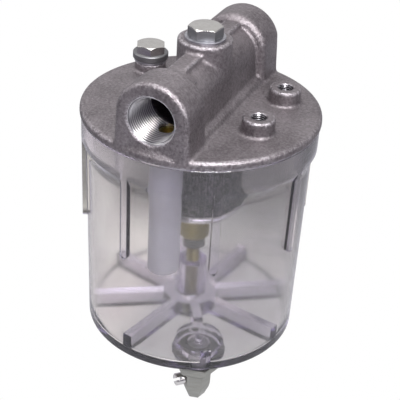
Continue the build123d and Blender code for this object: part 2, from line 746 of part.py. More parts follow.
with BuildPart() as drain_oring:
    with BuildSketch(screw_section):
        with Locations((oring_position, screw_radius + thread_gap - oring_squeeze - oring_wire / 2)):
            Circle(oring_wire / 2 - oring_squeeze)
    revolve(axis=screw_axis)

pieces = {
    "head": head, "cap_nut": cap_nut, "cap_nut_seal": cap_nut_seal, "tie_rod": tie_rod,
    "bleed_plug": bleed_plug, "bleed_plug_seal": bleed_plug_seal, "bowl_seal": bowl_seal,
    "bowl": bowl, "bowl_insert": bowl_insert, "inlet_nipple": inlet_nipple, "dip_tube": dip_tube,
    "strainer_gasket": strainer_gasket, "strainer_top_cap": strainer_top_cap,
    "strainer_mesh": strainer_mesh, "strainer_core": strainer_core,
    "strainer_bottom_cap": strainer_bottom_cap, "clamp_bush": clamp_bush, "lock_nut": lock_nut,
    "drain_body": drain_body, "drain_seal": drain_seal, "drain_screw": drain_screw,
    "drain_oring": drain_oring,
}
os.makedirs("parts", exist_ok=True)
for name, piece in pieces.items():
    piece.part.label = name
    export_step(piece.part, f"parts/{name}.step")
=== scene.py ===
import math

import bmesh
import bpy
import numpy as np
from mathutils import Matrix, Vector


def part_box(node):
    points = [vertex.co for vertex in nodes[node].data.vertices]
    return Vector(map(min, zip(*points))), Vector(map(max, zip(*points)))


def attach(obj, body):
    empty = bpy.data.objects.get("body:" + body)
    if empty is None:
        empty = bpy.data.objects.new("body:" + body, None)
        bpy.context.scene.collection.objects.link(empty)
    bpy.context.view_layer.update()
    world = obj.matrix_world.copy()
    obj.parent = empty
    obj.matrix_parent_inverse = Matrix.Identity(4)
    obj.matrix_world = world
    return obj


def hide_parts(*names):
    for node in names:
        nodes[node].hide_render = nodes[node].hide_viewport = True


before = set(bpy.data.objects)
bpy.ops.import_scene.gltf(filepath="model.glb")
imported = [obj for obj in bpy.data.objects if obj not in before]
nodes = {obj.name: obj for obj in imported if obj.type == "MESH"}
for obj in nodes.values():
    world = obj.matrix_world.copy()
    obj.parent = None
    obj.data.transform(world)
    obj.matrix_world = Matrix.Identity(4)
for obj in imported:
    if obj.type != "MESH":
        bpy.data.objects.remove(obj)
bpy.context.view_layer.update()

# Fuel water separator: cast head, clear ribbed bowl, strainer on a brass rod, dip tube and drain
# valve. Lengths are millimetres from the bowl's axis, and heights count from the head flange's
# top face.
AXIS = np.array([-40.2, -4.3, -9.0])  # where that axis and height lie in the part's own frame
MAIN = "separator"

# Bowl wall, from the rim down
RIM = -5.2
COLLAR_END = -19.5
TAPER_END = -25.0
FLOOR = -138.0
BASE = -141.6
COLLAR_RADIUS = 67.2
WALL_RADIUS = 64.4
BASE_RADIUS = 63.6
WALL = 3.2
RIM_EDGE = 0.5
BASE_EDGE = 0.8
FLOOR_CORNER = 2.0
CENTRE = 0.6  # radius of the bowl's first and last rows, which fans close
STEEP = 0.15  # half of the width in which a rib's, a web's or the hub's side rises

# Ribs on the wall, webs on the floor, and the hub and column round the rod
RIB_COUNT = 8
RIB_TURN = math.radians(-57.6)
RIB_WIDTH = 4.7
RIB_RADIUS = 67.1
RIB_END = -70.9
RIB_TIP = 0.35  # half width at which a rib's round end begins
WEB_WIDTH = 6.0
WEB_TOP = -128.0
HUB_RADIUS = 17.0
COLUMN_RADIUS = 9.0
COLUMN_TOP = -105.0
COLUMN_EDGE = 0.4
ROD_HOLE = 4.6
ROD_HOLE_EDGE = 0.3
INSERT_HOLE = 5.52
INSERT_HOLE_EDGE = 0.32
INSERT_HOLE_TOP = -128.1
INSERT_HOLE_END = -140.4

# Drain boss in the bowl's floor, and the (radius, height) outline of its bore
DRAIN_TURN = math.radians(-59.5)
DRAIN_DISTANCE = 45.0
DRAIN = DRAIN_DISTANCE * np.array([math.cos(DRAIN_TURN), math.sin(DRAIN_TURN)])
DRAIN_BOSS = 14.4
DRAIN_BOSS_TOP = -130.4
DRAIN_BOSS_DROP = 4.3
DRAIN_BOSS_SIDE = 0.8
DRAIN_BORE = [(6.55, -150.0), (6.55, -137.7), (2.5, -137.65), (2.5, -128.0)]

# Pipe ports, G 3/4, and the hole that drops from the inlet to the dip tube
PIPE_HEIGHT = 17.5
PORT_MOUTH = 64.8  # how far out the threads begin
PORT_THREAD = {"minor": 12.06, "major": 13.22, "pitch": 1.814, "length": 25.2,
               "mouth": 13.2, "lip": 0.5}
TUBE_CENTRE = (1.5, -46.0)
DROP_HOLE = [(5.7, PIPE_HEIGHT - 25), (5.7, PIPE_HEIGHT - 5)]

# Mounting holes, M8
MOUNT_X = 40.2
MOUNT_Y = {"front": -16.7, "rear": 25.3}
MOUNT_MOUTH = 8.9
MOUNT_THREAD = {"minor": 3.35, "major": 4.0, "pitch": 1.25, "length": 12.0,
                "mouth": 4.4, "lip": 0.4, "columns": 48}

# Tie rod, M8 where it is threaded, dip tube, and the strainer's rolled edge
ROD = {"radius": 4.0, "minor": 3.4, "pitch": 1.25, "start": -136.0, "end": -88.0,
       "low": -137.6, "high": 44.1, "chamfer": 0.7}
TUBE = [(7.15, -12.2), (7.15, -81.6), (7.45, -82.0), (8.45, -82.0), (8.75, -81.7), (8.75, -12.2)]
BEAD_RADIUS = 1.5
BEAD_INSET = 0.9  # from the bottom cap's edge to the middle of the bead
BEAD_LIFT = 1.6  # from the bottom cap's lower face to the middle of the bead

# Heights below which plated surfaces are painted grey and made rougher: the grey is painted shade
# on the sides
PLUG_PAINTED_SHADE_BELOW = 11.6
NUT_PAINTED_SHADE_BELOW = 45.3

# Studio. The two spots, a painted bright spot and a painted shadow, lie on the floor, in metres in
# the part's own frame.
GROUND_HEIGHT = -330.0
GROUND_REACH = 3000.0
BRIGHT_SPOT = (0.06, -0.32, -0.339)
TUBE_SHADOW = (-0.272, 0.385, -0.339)
WHITE = (1.0, 1.0, 1.0, 1.0)
LAMP_TARGET = (0, 0, -50)
# Each lamp's name, place, side in metres and watts
LAMPS = [("key", (330, -440, 620), 0.4, 15.0), ("fill", (-600, -150, 350), 0.5, 1.5),
         ("right", (600, -150, 300), 0.5, 1.5), ("top", (-150, 100, 800), 0.6, 3.5)]
CAMERA_PLACE = (186.1, -452.2, 240.1)
CAMERA_TARGET = (2.24, 0.92, -64.0)
CAMERA_ROLL = math.radians(3.477)
CAMERA_LENS = 87.04
CAMERA_SENSOR = 36.0


# Making meshes
def linked(name, data):
    """A new object of the scene that holds this mesh, lamp or camera."""
    piece = bpy.data.objects.new(name, data)
    bpy.context.scene.collection.objects.link(piece)
    return piece


def mesh_object(name, verts, faces):
    """An object at the origin whose mesh holds these points, given in mm about the bowl's axis."""
    mesh = bpy.data.meshes.new(name)
    mesh.from_pydata(((np.asarray(verts) + AXIS) / 1000).tolist(), [], faces)
    return linked(name, mesh)


def finish_piece(piece, body, material, angle=32):
    """Shades a piece smooth, with sharp edges where faces meet at more than the angle, and gives
    it its body and finish."""
    shape = bmesh.new()
    shape.from_mesh(piece.data)
    for face in shape.faces:
        face.smooth = True
    for edge in shape.edges:
        edge.smooth = len(edge.link_faces) == 2 and edge.calc_face_angle(0) < math.radians(angle)
    shape.to_mesh(piece.data)
    shape.free()
    piece.data.materials.clear()
    piece.data.materials.append(material)
    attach(piece, body)
    return piece


def grid_faces(rows, columns, closed):
    """Quads between neighbouring rows and columns. Columns always close, and rows do for a ring."""
    last = rows if closed else rows - 1
    i = np.arange(last)[:, None] * columns
    up = (np.arange(last)[:, None] + 1) % rows * columns
    j = np.arange(columns)[None, :]
    k = (j + 1) % columns
    return np.stack([i + j, i + k, up + k, up + j], axis=-1).reshape(-1, 4).tolist()


def grid_object(name, points, closed=False):
    """A surface through points[row, column]. Unless its rows close into a ring, a fan from the
    row's middle closes the first row, and one the last."""
    rows, columns = points.shape[:2]
    verts = points.reshape(-1, 3)
    faces = grid_faces(rows, columns, closed)
    if not closed:
        verts = np.vstack([verts, points[0].mean(axis=0), points[-1].mean(axis=0)])
        first, last = rows * columns, rows * columns + 1
        top = (rows - 1) * columns
        for j in range(columns):
            k = (j + 1) % columns
            faces.append([k, j, first])
            faces.append([top + j, top + k, last])
    return mesh_object(name, verts, faces)


def turned_points(profile, columns=96, centre=(0, 0)):
    """A revolved surface: x = r cos a, y = r sin a, z = h for each (r, h) of the profile and each
    angle a."""
    profile = np.asarray(profile, float)
    angle = np.arange(columns) * 2 * math.pi / columns
    r, h = profile[:, :1], profile[:, 1:2]
    return np.stack([centre[0] + r * np.cos(angle), centre[1] + r * np.sin(angle),
                     h + 0 * angle], axis=-1)


def aimed(points, origin, axis):
    """Turns points whose own z runs along a hole so that it runs along axis, and moves them to
    origin."""
    turn = np.array(Vector((0, 0, 1)).rotation_difference(Vector(axis)).to_matrix())
    return points @ turn.T + np.asarray(origin, float)


def thread_wave(turns):
    """A rounded V that is 0 at the crest and 1 at the root, once per turn: half of one minus a
    flattened cosine."""
    wave = np.cos(2 * math.pi * turns)
    return 0.5 - 0.5 * wave * (1.3 - 0.3 * wave ** 2)


def inner_thread(minor, major, pitch, length, mouth, lip, columns=96):
    """Lining of a tapped hole, its own z = 0 at the mouth. The radius is
    minor + (major - minor) * wave(z / pitch - a / turn), and at least mouth + z, which cuts a 45
    degree chamfer. The outside lies lip beyond the major radius."""
    rows_per_turn = 10
    z = np.linspace(0, -length, int(length / pitch * rows_per_turn))[:, None]
    angle = np.arange(columns)[None, :] * 2 * math.pi / columns
    radius = minor + (major - minor) * thread_wave(z / pitch - angle / (2 * math.pi))
    radius = np.maximum(radius, mouth + z)
    inside = np.stack([radius * np.cos(angle), radius * np.sin(angle), z + 0 * angle], axis=-1)
    outside = turned_points([(major + lip, -length), (major + lip, 0)], columns)
    return np.concatenate([inside, outside])


def outer_thread(radius, minor, pitch, start, end, low, high, chamfer):
    """A rod from height low to high, threaded from start to end, where the radius falls to minor
    once per pitch along the helix: radius - (radius - minor) * wave(z / pitch - a / turn). At
    both tips it shrinks by the chamfer."""
    columns, rows_per_turn, runout = 40, 7, 0.3
    threaded = np.linspace(start, end, int((end - start) / pitch * rows_per_turn))
    z = np.concatenate([[low, low + chamfer], threaded[1:-1],
                        [end + runout, high - chamfer, high]])[:, None]
    angle = np.arange(columns)[None, :] * 2 * math.pi / columns
    depth = (radius - minor) * thread_wave(z / pitch - angle / (2 * math.pi))
    depth = depth * ((z > start) & (z < end))
    r = radius - depth - chamfer * ((z < low + chamfer / 2) | (z > high - chamfer / 2))
    return np.stack([r * np.cos(angle), r * np.sin(angle), z + 0 * angle], axis=-1)


def merged_copy(node, name, bevel=0.0):
    """A copy of a CAD node with its doubles merged, its flat faces joined, and its sharp edges
    rounded by a bevel of that many mm. No vertex leaves the node's own box."""
    flat, sharp = math.radians(1), math.radians(28)
    mesh = nodes[node].data.copy()
    mesh.name = name
    shape = bmesh.new()
    shape.from_mesh(mesh)
    bmesh.ops.remove_doubles(shape, verts=shape.verts, dist=1e-6)
    bmesh.ops.dissolve_limit(shape, angle_limit=flat, verts=shape.verts, edges=shape.edges)
    if bevel:
        edges = [edge for edge in shape.edges if len(edge.link_faces) == 2
                 and edge.calc_face_angle(0) > sharp]
        bmesh.ops.bevel(shape, geom=edges, offset=bevel / 1000, segments=2, profile=0.5,
                        affect="EDGES", clamp_overlap=True)
    bmesh.ops.triangulate(shape, faces=[face for face in shape.faces if len(face.verts) > 4])
    low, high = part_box(node)
    for vert in shape.verts:
        vert.co = Vector(np.clip(vert.co, low, high))
    shape.to_mesh(mesh)
    shape.free()
    return linked(name, mesh)


def keep_modified(piece):
    """Keeps what a piece's modifiers make of it as its own mesh."""
    depsgraph = bpy.context.evaluated_depsgraph_get()
    baked = bpy.data.meshes.new_from_object(piece.evaluated_get(depsgraph))
    piece.modifiers.clear()
    piece.data = baked


def cut_away(piece, cutter):
    """Takes the cutter's space out of a piece and removes the cutter."""
    cut = piece.modifiers.new("cut", "BOOLEAN")
    cut.operation = "DIFFERENCE"
    cut.solver = "EXACT"
    cut.object = cutter
    keep_modified(piece)
    bpy.data.objects.remove(cutter)


# Nodes of the finishes. A link is a pair of a node and one of its outputs.
def linear(code):
    """sRGB hex to linear red, green, blue and alpha."""
    values = [int(code[i:i + 2], 16) / 255 for i in (0, 2, 4)]
    return [v / 12.92 if v <= 0.04045 else ((v + 0.055) / 1.055) ** 2.4 for v in values] + [1.0]


def add(tree, kind, settings=None, inputs=None):
    """Adds a node. settings are its properties, and inputs are values or links by socket name or
    number."""
    node = tree.nodes.new(kind)
    for key, value in (settings or {}).items():
        setattr(node, key, value)
    for key, value in (inputs or {}).items():
        if isinstance(value, tuple) and isinstance(value[0], bpy.types.Node):
            tree.links.new(value[0].outputs[value[1]], node.inputs[key])
        else:
            node.inputs[key].default_value = value
    return node


def blank(name):
    """A material with only its output node, and a link to the Object coordinates."""
    material = bpy.data.materials.new(name)
    material.use_nodes = True
    tree = material.node_tree
    tree.nodes.clear()
    output = add(tree, "ShaderNodeOutputMaterial")
    place = (add(tree, "ShaderNodeTexCoord"), "Object")
    return material, tree, output, place


def ramp(tree, source, stops):
    """A link to a colour ramp through (position, hex) stops."""
    node = add(tree, "ShaderNodeValToRGB", inputs={"Fac": source})
    points = node.color_ramp.elements
    while len(points) < len(stops):
        points.new(0.5)
    for point, (position, code) in zip(points, stops):
        point.position = position
        point.color = linear(code)
    return node, 0


def noise(tree, place, scale, detail, **more):
    """A link to noise with scale grains per metre."""
    inputs = {"Vector": place, "Scale": scale, "Detail": detail, **more}
    return add(tree, "ShaderNodeTexNoise", inputs=inputs), "Fac"


def calc(tree, operation, *values):
    """A link to the result of a maths operation on these values or links."""
    return add(tree, "ShaderNodeMath", {"operation": operation}, dict(enumerate(values))), 0


def vector_calc(tree, operation, first, second, result="Value"):
    """A link to the result of an operation on two vectors."""
    node = add(tree, "ShaderNodeVectorMath", {"operation": operation}, {0: first, 1: second})
    return node, result


def part_of(tree, vector, number):
    """A link to a vector's x, y or z, by number."""
    return add(tree, "ShaderNodeSeparateXYZ", inputs={0: vector}), number


def span(tree, source, low, high, at_low=0.0, at_high=1.0, smooth=False):
    """A link to at_low where the source is low or less, at_high where it is high or more, and a
    straight or smooth passage between."""
    settings = {"interpolation_type": "SMOOTHSTEP"} if smooth else {}
    inputs = {0: source, 1: low, 2: high, 3: at_low, 4: at_high}
    return add(tree, "ShaderNodeMapRange", settings, inputs), 0


def blend(tree, factor, first, second):
    """A link to a mix of two colours, which are sockets 6 and 7 of the mixing node."""
    return add(tree, "ShaderNodeMix", {"data_type": "RGBA"},
               {"Factor": factor, 6: first, 7: second}), 2


def bump(tree, height, strength, distance):
    """A link to normals that follow the height, in a relief of distance metres."""
    return add(tree, "ShaderNodeBump",
               inputs={"Height": height, "Strength": strength, "Distance": distance}), 0


def give(tree, link, output, socket="Surface"):
    """Joins a link to a socket of the output node."""
    tree.links.new(link[0].outputs[link[1]], output.inputs[socket])


def surface(tree, output, colour, normal, more):
    """The main shader of a material. more holds its other inputs."""
    inputs = {"Base Color": colour, "Normal": normal, **more}
    give(tree, (add(tree, "ShaderNodeBsdfPrincipled", inputs=inputs), 0), output)


# Finishes
def cast_aluminium():
    """Sand-textured pressure casting: grain about 1.5 mm across with glints on it, a cloudy tone
    that changes over about 20 mm, and edges painted bright in specks, part rubbed wear and part
    painted highlight."""
    material, tree, output, place = blank("cast_aluminium")
    grain = noise(tree, place, 650.0, 4.0, Roughness=0.7)
    cloud = noise(tree, place, 45.0, 3.0)
    tone = calc(tree, "MULTIPLY_ADD", grain, 0.65, calc(tree, "MULTIPLY", cloud, 0.35))
    colour = ramp(tree, tone, [(0.38, "5e585b"), (0.62, "8a8487")])
    # Convex edges painted pale in specks: partly rubbed wear, partly painted highlight where the
    # rounds catch the lamps
    edge = span(tree, (add(tree, "ShaderNodeNewGeometry"), "Pointiness"), 0.515, 0.57)
    glint = span(tree, grain, 0.42, 0.62)
    bright = blend(tree, calc(tree, "MULTIPLY", edge, glint), colour, linear("d2ced4"))
    surface(tree, output, bright, bump(tree, grain, 0.8, 0.0006),
            {"Metallic": 0.85, "Roughness": 0.42})
    return material


def plated(name, dark, light, roughness, streak=400.0, relief=0.04, painted_shade_below=None):
    """Turned or plated metal: faint tool rings, about 0.4 mm apart where streak is 400, that also
    change its tone. Below a given height it is painted grey and made rougher; the grey is painted
    shade on sides darker than the lit top."""
    material, tree, output, place = blank(name)
    squeezed = add(tree, "ShaderNodeMapping", inputs={"Vector": place, "Scale": (1.0, 1.0, 6.0)})
    rings = noise(tree, (squeezed, 0), streak, 2.0)
    colour = ramp(tree, rings, [(0.3, dark), (0.7, light)])
    # Painted shade: below the given height the colour turns plain grey, for sides darker than the
    # lit top
    if painted_shade_below is not None:
        limit = (painted_shade_below + AXIS[2]) / 1000
        painted_shade = calc(tree, "LESS_THAN", part_of(tree, place, 2), limit)
        colour = blend(tree, painted_shade, colour, linear("7a7a7c"))
        roughness = span(tree, painted_shade, 0.0, 1.0, roughness, 0.5)
    surface(tree, output, colour, bump(tree, rings, relief, 0.0002),
            {"Metallic": 1.0, "Roughness": roughness})
    return material


def tapped_metal(name, root, flank, crest):
    """Cut thread: crests painted bright as painted highlight, roots painted dark, partly as oil and
    partly as painted shade.
    """
    material, tree, output, place = blank(name)
    curvature = (add(tree, "ShaderNodeNewGeometry"), "Pointiness")
    # Pointiness paints crests bright (painted highlight) and roots dark (oil, and painted shade)
    colour = ramp(tree, curvature, [(0.44, root), (0.5, flank), (0.56, crest)])
    marks = noise(tree, place, 900.0, 2.0)
    surface(tree, output, colour, bump(tree, marks, 0.15, 0.0002),
            {"Metallic": 1.0, "Roughness": 0.3})
    return material


def clear_plastic():
    """Clear moulded plastic such as polycarbonate: IOR 1.5, slightly hazy, with a slow flow
    ripple. It takes up a little light on the way through, so that thin walls are pale grey-violet
    and edges seen lengthwise are dark violet."""
    material, tree, output, place = blank("clear_polycarbonate")
    flow = noise(tree, place, 30.0, 1.0)
    tint = ramp(tree, flow, [(0.3, "eceaed"), (0.7, "f5f5f7")])
    surface(tree, output, tint, bump(tree, flow, 0.06, 0.001),
            {"Transmission Weight": 0.98, "Roughness": 0.09, "IOR": 1.5})
    body = add(tree, "ShaderNodeVolumeAbsorption",
               inputs={"Color": (0.57, 0.51, 0.69, 1.0), "Density": 72.0})
    give(tree, (body, 0), output, "Volume")
    return material


def wire_cloth():
    """Woven wire, drawn coarser than the real 0.2 mm wires so that it shows: wires 1.8 mm apart
    up and round the bowl's axis, 27.2 mm from it, with a scatter of brighter ones."""
    pitch, distance = 1.8, 27.2
    material, tree, output, place = blank("woven_wire_cloth")
    centred = vector_calc(tree, "SUBTRACT", place, AXIS / 1000, "Vector")
    turn = calc(tree, "ARCTAN2", part_of(tree, centred, 1), part_of(tree, centred, 0))
    waves = []
    for value, count in ((turn, distance / pitch), (part_of(tree, centred, 2), 1000 / pitch)):
        phase = calc(tree, "MULTIPLY", value, round(count) * 2 * math.pi)
        waves.append(calc(tree, "MULTIPLY_ADD", calc(tree, "SINE", phase), 0.5, 0.5))
    weave = calc(tree, "MAXIMUM", *waves)
    speck = noise(tree, place, 500.0, 2.0)
    colour = ramp(tree, calc(tree, "MULTIPLY", weave, speck),
                  [(0.15, "050406"), (0.4, "171519"), (0.7, "9c98a0")])
    surface(tree, output, colour, bump(tree, weave, 0.5, 0.0003),
            {"Metallic": 0.8, "Roughness": 0.5})
    return material


def moulded(name, dark, light, roughness, grain, translucent=0.0):
    """Moulded rubber or plastic with a faint mottle and fine grain. A translucent one lets light
    through."""
    material, tree, output, place = blank(name)
    mottle = noise(tree, place, grain, 3.0)
    colour = ramp(tree, mottle, [(0.3, dark), (0.7, light)])
    surface(tree, output, colour, bump(tree, mottle, 0.1, 0.0003),
            {"Roughness": roughness, "Transmission Weight": translucent})
    return material


def zinc_plate(name, painted_shade_below=None):
    """Bright zinc plate, pale and nearly even."""
    return plated(name, "cfcdc9", "d8d6d2", 0.2, relief=0.02, painted_shade_below=painted_shade_below)


casting = cast_aluminium()
clear = clear_plastic()
zinc = zinc_plate("bright_zinc_plate")
# The bleed plug's collar and the cap nut's flanks get painted shade below their heights
plug_zinc = zinc_plate("zinc_plate_painted_shade_collar", PLUG_PAINTED_SHADE_BELOW)
nut_zinc = zinc_plate("zinc_plate_painted_shade_sides", NUT_PAINTED_SHADE_BELOW)
seal_metal = plated("bare_aluminium_washer", "a0a0a6", "c0c0c6", 0.3)
tapped = tapped_metal("tapped_aluminium", "2c2a2c", "8c8a8c", "eceaec")
# A darker copy for the small mounting holes: painted shade deep in them
tapped_painted_shade = tapped_metal("tapped_aluminium_painted_shade", "201e20", "504e52", "a8a6aa")
pressed_steel = plated("pressed_stainless_sheet", "c4c1c4", "dedcde", 0.2)
dark_steel = plated("dull_dark_steel", "464446", "6a686a", 0.22)
brass = plated("fuel_dulled_brass", "6a603b", "887e4d", 0.4)
# A brighter copy of the brass for the inlet nipple: painted highlight for its glint deep in the
# port
brass_painted_glint = plated("brass_with_painted_glint", "c8b468", "ecdc98", 0.3)
cast_zinc = plated("cast_zinc", "9a9a93", "a8a8a1", 0.5, streak=120.0, relief=0.05)
mesh_cloth = wire_cloth()
rubber = moulded("nitrile_rubber", "101010", "1c1b1c", 0.6, 300.0)
white_tube = moulded("translucent_white_nylon", "e4e4e8", "f0f0f4", 0.4, 60.0, translucent=0.4)


# Head: a copy of the solid, remeshed and relaxed so that its forms run into each other as a
# casting's do
def cast_head():
    """The head's solid cut into 0.9 mm cubes, each vertex then moved towards its neighbours' mean
    four times."""
    piece = merged_copy("head", "head_casting")
    remesh = piece.modifiers.new("remesh", "REMESH")
    remesh.mode = "VOXEL"
    remesh.voxel_size = 0.0009
    relax = piece.modifiers.new("relax", "SMOOTH")
    relax.factor = 0.5
    relax.iterations = 4
    keep_modified(piece)
    finish_piece(piece, MAIN, casting, angle=180)
    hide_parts("head")


cast_head()

# Threads cut in the two ports and the two mounting holes
for label, side in (("inlet", -1), ("outlet", 1)):
    lining = aimed(inner_thread(**PORT_THREAD), (0, side * PORT_MOUTH, PIPE_HEIGHT), (0, side, 0))
    thread = grid_object(f"{label}_port_thread", lining, closed=True)
    if label == "inlet":
        drop_hole = grid_object("drop_hole_cutter", turned_points(DROP_HOLE, 48, TUBE_CENTRE))
        cut_away(thread, drop_hole)
    finish_piece(thread, MAIN, tapped, 50)
for label, y in MOUNT_Y.items():
    lining = aimed(inner_thread(**MOUNT_THREAD), (MOUNT_X, y, MOUNT_MOUTH), (0, 0, 1))
    thread = grid_object(f"{label}_mounting_thread", lining, closed=True)
    finish_piece(thread, MAIN, tapped_painted_shade, 50)


# Clear bowl, one closed surface
def bowl_rows():
    """Rows from the underside's middle, out and up the wall, over the rim, down inside, and across
    the floor to the hub's bore. Each row is radius, height, half width of the band that a rib or
    web takes, and what that band does there. Bare numbers place rows along straight runs."""
    half, web = RIB_WIDTH / 2, WEB_WIDTH / 2
    round_start, narrowing = RIB_END + half, 6
    inner_top, inner_base = WALL_RADIUS - WALL, BASE_RADIUS - WALL
    start, end = RIM - RIM_EDGE, FLOOR + FLOOR_CORNER

    def outside(z, width, kind):
        """A row on the wall's outer face, whose radius grows evenly from the base to the taper."""
        slope = (WALL_RADIUS - BASE_RADIUS) / (TAPER_END - BASE)
        return BASE_RADIUS + slope * (z - BASE), z, width, kind

    rows = [(r, BASE, half, "under") for r in np.linspace(CENTRE, BASE_RADIUS - 1.2, 64)]
    rows += [(BASE_RADIUS - BASE_EDGE, BASE, half, "under"),
             (BASE_RADIUS, BASE + BASE_EDGE, half, "wall")]
    rows += [outside(z, half, "wall") for z in np.linspace(BASE + 1.5, RIB_END - narrowing, 12)]
    rows += [outside(RIB_END - drop, RIB_TIP + (half - RIB_TIP) * drop / narrowing, "wall")
             for drop in (4.0, 2.0, 0.8, 0.05)]
    rows += [outside(round_start - half * share,
                     max(half * math.sqrt(1 - share ** 2), RIB_TIP), "rib")
             for share in (0.995, 0.96, 0.9, 0.8, 0.65, 0.45, 0.2, 0.0)]
    rows += [outside(z, half, "rib") for z in np.linspace(round_start + 2, TAPER_END, 10)]
    rows += [(WALL_RADIUS + (COLLAR_RADIUS - WALL_RADIUS) * f,
              TAPER_END + (COLLAR_END - TAPER_END) * f, half, "rib") for f in (0.25, 0.5, 0.75)]
    rows += [(COLLAR_RADIUS, z, half, "wall") for z in (COLLAR_END, -15.0, -10.0, start)]
    rows += [(COLLAR_RADIUS - RIM_EDGE, RIM, half, "wall"),
             (inner_top + RIM_EDGE, RIM, half, "wall")]
    rows += [(inner_top + (inner_base - inner_top) * f, start + (end - start) * f, web, "inside")
             for f in np.linspace(0, 1, 24)]
    rows += [(inner_base - FLOOR_CORNER * (1 - math.cos(a)), end - FLOOR_CORNER * math.sin(a),
              web, "inside") for a in np.linspace(0, math.pi / 2, 5)]
    rows += [(r, FLOOR, web, "inside")
             for r in np.linspace(inner_base - FLOOR_CORNER - 0.8, HUB_RADIUS + 1, 56)]
    rows += [(HUB_RADIUS + STEEP, FLOOR, web, "inside")]

    hub = [(r, WEB_TOP) for r in (HUB_RADIUS - STEEP, 15, 13, 11, COLUMN_RADIUS + 0.5)]
    hub += [(COLUMN_RADIUS, z)
            for z in (WEB_TOP + 0.5, -122, -115, -109, COLUMN_TOP - COLUMN_EDGE)]
    hub += [(COLUMN_RADIUS - COLUMN_EDGE, COLUMN_TOP), (ROD_HOLE + ROD_HOLE_EDGE, COLUMN_TOP)]
    hub += [(ROD_HOLE, z) for z in (COLUMN_TOP - ROD_HOLE_EDGE, -115, INSERT_HOLE_TOP)]
    hub += [(INSERT_HOLE, z) for z in (INSERT_HOLE_TOP - 0.1, -134, INSERT_HOLE_END + 0.1)]
    hub += [(INSERT_HOLE - INSERT_HOLE_EDGE, INSERT_HOLE_END), (CENTRE, INSERT_HOLE_END)]
    return rows + [(r, z, web, "hub") for r, z in hub]


def smooth_step(value):
    """0 below 0, 1 above 1 and 3 v^2 - 2 v^3 between."""
    value = np.clip(value, 0, 1)
    return value * value * (3 - 2 * value)


def bowl_points():
    """x = r cos a, y = r sin a. Grid lines run parallel to each rib and web at fixed offsets,
    a = rib angle + asin(offset / r), so the bands between the inner lines are lifted to the rib's
    radius or the web's top with steep straight sides. The drain boss is lifted or let down inside
    its own circle."""
    bay_lines = 28
    widest = 0.36  # sine of the angle that half a band may take
    step = 2 * math.pi / RIB_COUNT
    grid = []
    for r, z, half, kind in bowl_rows():
        half = min(half, 0.3 * r)  # bands narrow near the middle, where they would meet
        offsets = np.array([-half - STEEP, -half + STEEP, -half / 2, 0,
                            half / 2, half - STEEP, half + STEEP])
        band = np.arcsin(np.clip(offsets / r, -widest, widest))
        bay = np.linspace(band[-1], step + band[0], bay_lines + 2)[1:-1]
        starts = RIB_TURN + step * np.arange(RIB_COUNT)[:, None]
        angle = (starts + np.concatenate([band, bay])).ravel()
        raised = np.tile(np.r_[0, 1, 1, 1, 1, 1, 0, np.zeros(bay_lines)], RIB_COUNT) > 0
        radius = np.full(angle.shape, float(r))
        height = np.full(angle.shape, float(z))
        if kind == "rib":
            radius[raised] = max(RIB_RADIUS, r)
        x, y = radius * np.cos(angle), radius * np.sin(angle)
        away = np.hypot(x - DRAIN[0], y - DRAIN[1])
        boss = smooth_step((DRAIN_BOSS + DRAIN_BOSS_SIDE / 2 - away) / DRAIN_BOSS_SIDE)
        if kind == "under":
            height -= DRAIN_BOSS_DROP * boss
        if kind == "inside":
            floor = np.where(raised, WEB_TOP, FLOOR)
            height = np.maximum(height, floor + (DRAIN_BOSS_TOP - floor) * boss)
        grid.append(np.stack([x, y, height], axis=-1))
    return np.array(grid)


bowl = grid_object("clear_bowl", bowl_points())
cut_away(bowl, grid_object("drain_bore_cutter", turned_points(DRAIN_BORE, 48, DRAIN)))
finish_piece(bowl, MAIN, clear, 34)
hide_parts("bowl")

# Rod with its thread, and the dip tube
rod = grid_object("threaded_tie_rod", outer_thread(**ROD))
finish_piece(rod, MAIN, brass, 50)
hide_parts("tie_rod")
tube = grid_object("inlet_dip_tube", turned_points(TUBE, 72, TUBE_CENTRE), closed=True)
finish_piece(tube, MAIN, white_tube)
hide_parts("dip_tube")

# Rolled edge of the strainer's bottom cap, a ring r = R + b cos t, h = H + b sin t
cap_low, cap_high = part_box("strainer_bottom_cap")
bead_ring = (cap_high[0] - cap_low[0]) * 500 - BEAD_INSET
bead_height = cap_low[2] * 1000 - AXIS[2] + BEAD_LIFT
bead_turn = np.linspace(0, 2 * math.pi, 13)[:-1]
bead_profile = np.stack([bead_ring + BEAD_RADIUS * np.cos(bead_turn),
                         bead_height + BEAD_RADIUS * np.sin(bead_turn)], axis=-1)
bead = grid_object("strainer_rolled_edge", turned_points(bead_profile, 120), closed=True)
finish_piece(bead, MAIN, pressed_steel, 60)

# Metal pieces that keep their solid's shape, with edges broken as machining leaves them
for node, body, slot, material, bevel in (
        ("cap_nut", MAIN, "zinc_plate", nut_zinc, 0.25),
        ("cap_nut_seal", MAIN, "seal_metal", seal_metal, 0.3),
        ("bleed_plug", "bleed_plug", "zinc_plate", plug_zinc, 0.25),
        ("bleed_plug_seal", "bleed_plug_travel", "seal_metal", seal_metal, 0.3),
        ("inlet_nipple", MAIN, "brass", brass_painted_glint, 0.2),
        ("bowl_insert", MAIN, "brass", brass, 0.2),
        ("clamp_bush", MAIN, "brass", brass, 0.15),
        ("lock_nut", MAIN, "dark_steel", dark_steel, 0.2),
        ("strainer_top_cap", MAIN, "strainer_steel", pressed_steel, 0.25),
        ("strainer_bottom_cap", MAIN, "strainer_steel", pressed_steel, 0.25),
        ("drain_body", MAIN, "cast_zinc", cast_zinc, 0.3),
        ("drain_screw", "drain_screw", "zinc_plate", zinc, 0.2)):
    piece = finish_piece(merged_copy(node, node + "_finished", bevel), body, material)
    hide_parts(node)
